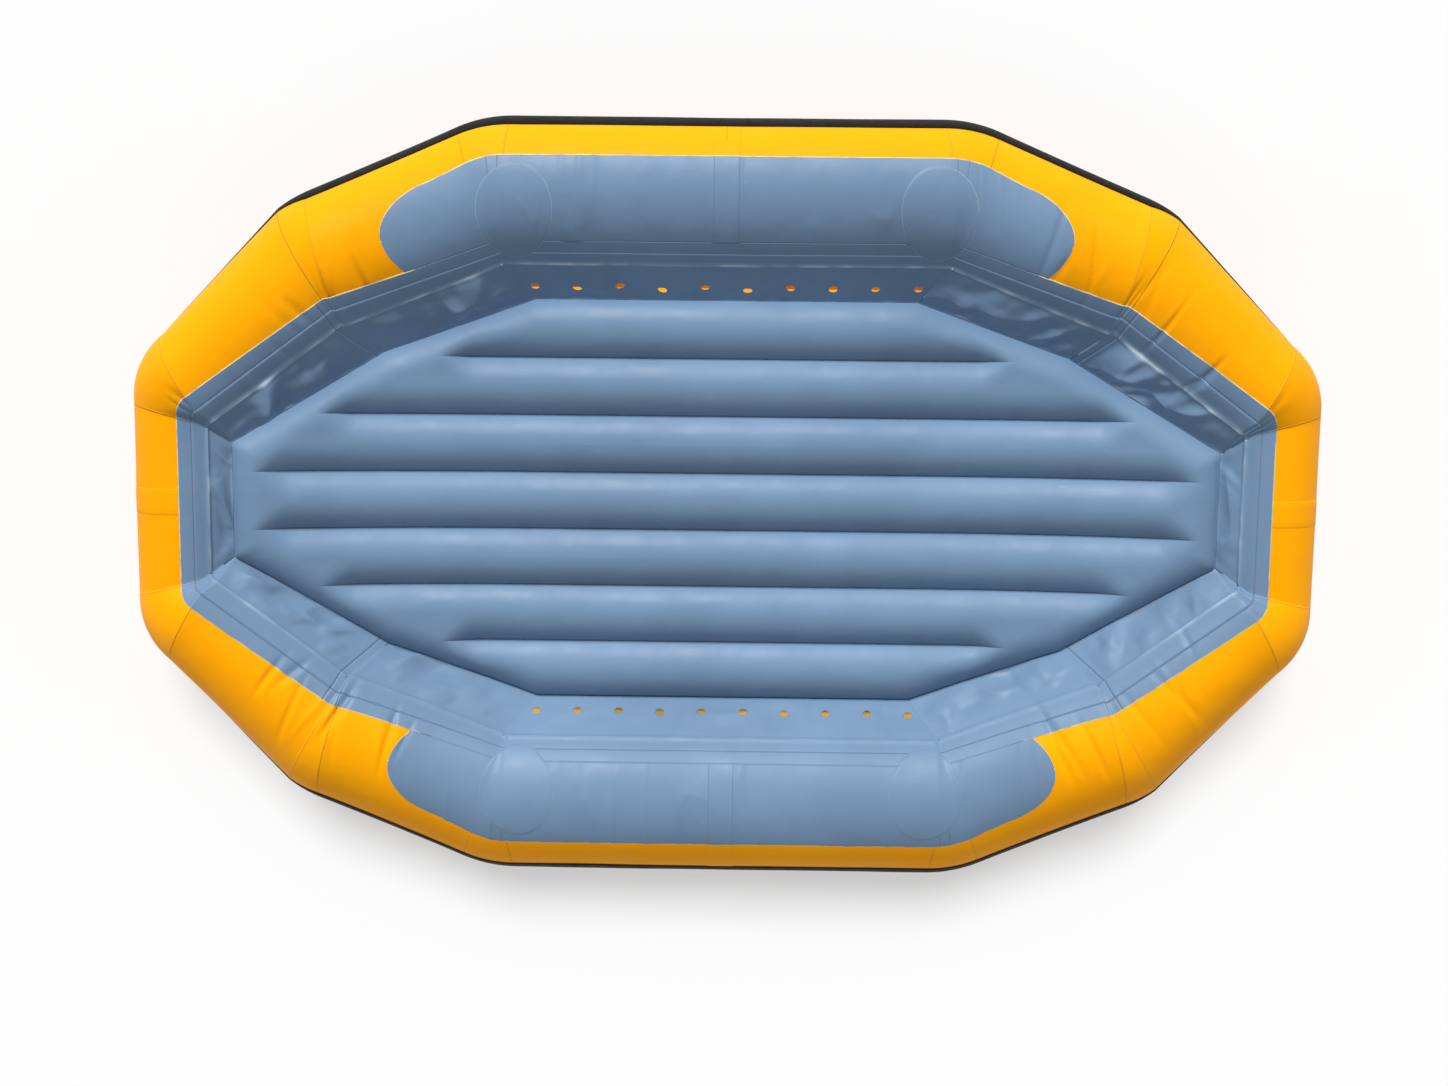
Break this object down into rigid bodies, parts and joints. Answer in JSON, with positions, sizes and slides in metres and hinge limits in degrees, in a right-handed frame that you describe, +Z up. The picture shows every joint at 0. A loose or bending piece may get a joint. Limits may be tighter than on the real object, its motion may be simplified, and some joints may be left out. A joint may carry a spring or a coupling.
{
  "type": "inflatable raft",
  "caption": "Self-bailing inflatable raft: ring of air tubes with raised ends, wear pads, rub strakes, drain-hole curtains, a ribbed air floor and push-open inflation valves.",
  "frame": {"origin": "on the ground under the middle of the raft", "axes": "+X towards the bow, +Y to port, +Z up"},
  "size_m": [3.1902, 2.0474, 0.4357],
  "materials": {
    "tube_fabric": "coated, satin",
    "pad_fabric": "coated, satin",
    "strake_rubber": "matt",
    "valve_plastic": "satin"
  },
  "bodies": {
    "raft": {"chamber_bow_port": "tube_fabric", "chamber_stern_port": "tube_fabric", "chamber_bow_starboard": "tube_fabric", "chamber_stern_starboard": "tube_fabric", "seam_tape_port": "tube_fabric", "seam_tape_starboard": "tube_fabric", "seam_tape_bow": "tube_fabric", "seam_tape_stern": "tube_fabric", "keel_strip_port": "strake_rubber", "keel_strip_starboard": "strake_rubber", "bulkhead_port": "tube_fabric", "bulkhead_starboard": "tube_fabric", "bulkhead_bow": "tube_fabric", "bulkhead_stern": "tube_fabric", "rub_strake_port": "strake_rubber", "rub_strake_starboard": "strake_rubber", "wear_pad_port": "pad_fabric", "wear_pad_starboard": "pad_fabric", "corner_patch_bow_port": "pad_fabric", "corner_patch_stern_port": "pad_fabric", "corner_patch_bow_starboard": "pad_fabric", "corner_patch_stern_starboard": "pad_fabric", "bonded_band_port": "pad_fabric", "bonded_band_starboard": "pad_fabric", "bonded_band_bow": "pad_fabric", "bonded_band_stern": "pad_fabric", "curtain_port": "pad_fabric", "curtain_starboard": "pad_fabric", "curtain_bow": "pad_fabric", "curtain_stern": "pad_fabric", "floor_top_skin": "pad_fabric", "floor_bottom_skin": "pad_fabric", "floor_side_wall": "pad_fabric", "floor_web_1": "pad_fabric", "floor_web_2": "pad_fabric", "floor_web_3": "pad_fabric", "floor_web_4": "pad_fabric", "floor_web_5": "pad_fabric", "floor_web_6": "pad_fabric", "valve_body_bow_port": "valve_plastic", "valve_body_stern_port": "valve_plastic", "valve_body_bow_starboard": "valve_plastic", "valve_body_stern_starboard": "valve_plastic", "valve_body_floor": "valve_plastic", "relief_valve_body": "valve_plastic"},
    "cap_bow_port": {"valve_cap_bow_port": "valve_plastic"},
    "plunger_bow_port": {"valve_plunger_bow_port": "valve_plastic"},
    "cap_stern_port": {"valve_cap_stern_port": "valve_plastic"},
    "plunger_stern_port": {"valve_plunger_stern_port": "valve_plastic"},
    "cap_bow_starboard": {"valve_cap_bow_starboard": "valve_plastic"},
    "plunger_bow_starboard": {"valve_plunger_bow_starboard": "valve_plastic"},
    "cap_stern_starboard": {"valve_cap_stern_starboard": "valve_plastic"},
    "plunger_stern_starboard": {"valve_plunger_stern_starboard": "valve_plastic"},
    "cap_floor": {"valve_cap_floor": "valve_plastic"},
    "plunger_floor": {"valve_plunger_floor": "valve_plastic"},
    "relief_poppet": {"relief_poppet": "valve_plastic"}
  },
  "joints": [
    {"name": "cap_turn_bow_port", "type": "hinge", "parent": "raft", "child": "cap_bow_port", "pos_m": [1.57241, 0.125, 0.20227], "axis": [0.9063, 0, -0.4226], "range_deg": [0, 90]},
    {"name": "plunger_press_bow_port", "type": "slide", "parent": "raft", "child": "plunger_bow_port", "axis": [-0.9063, 0, 0.4226], "range_m": [0, 0.008], "stiffness_N_per_m": 400, "springref_m": -0.003},
    {"name": "cap_turn_stern_port", "type": "hinge", "parent": "raft", "child": "cap_stern_port", "pos_m": [-1.57241, 0.125, 0.20227], "axis": [-0.9063, 0, -0.4226], "range_deg": [0, 90]},
    {"name": "plunger_press_stern_port", "type": "slide", "parent": "raft", "child": "plunger_stern_port", "axis": [0.9063, 0, 0.4226], "range_m": [0, 0.008], "stiffness_N_per_m": 400, "springref_m": -0.003},
    {"name": "cap_turn_bow_starboard", "type": "hinge", "parent": "raft", "child": "cap_bow_starboard", "pos_m": [1.57241, -0.125, 0.20227], "axis": [0.9063, 0, -0.4226], "range_deg": [0, 90]},
    {"name": "plunger_press_bow_starboard", "type": "slide", "parent": "raft", "child": "plunger_bow_starboard", "axis": [-0.9063, 0, 0.4226], "range_m": [0, 0.008], "stiffness_N_per_m": 400, "springref_m": -0.003},
    {"name": "cap_turn_stern_starboard", "type": "hinge", "parent": "raft", "child": "cap_stern_starboard", "pos_m": [-1.57241, -0.125, 0.20227], "axis": [-0.9063, 0, -0.4226], "range_deg": [0, 90]},
    {"name": "plunger_press_stern_starboard", "type": "slide", "parent": "raft", "child": "plunger_stern_starboard", "axis": [0.9063, 0, 0.4226], "range_m": [0, 0.008], "stiffness_N_per_m": 400, "springref_m": -0.003},
    {"name": "cap_turn_floor", "type": "hinge", "parent": "raft", "child": "cap_floor", "pos_m": [-0.42, 0, 0.07019], "axis": [0, 0, -1], "range_deg": [0, 90]},
    {"name": "plunger_press_floor", "type": "slide", "parent": "raft", "child": "plunger_floor", "axis": [0, 0, 1], "range_m": [0, 0.008], "stiffness_N_per_m": 400, "springref_m": -0.003},
    {"name": "relief_lift", "type": "slide", "parent": "raft", "child": "relief_poppet", "axis": [0, 0, -1], "range_m": [0, 0.003], "stiffness_N_per_m": 300, "springref_m": -0.004}
  ]
}
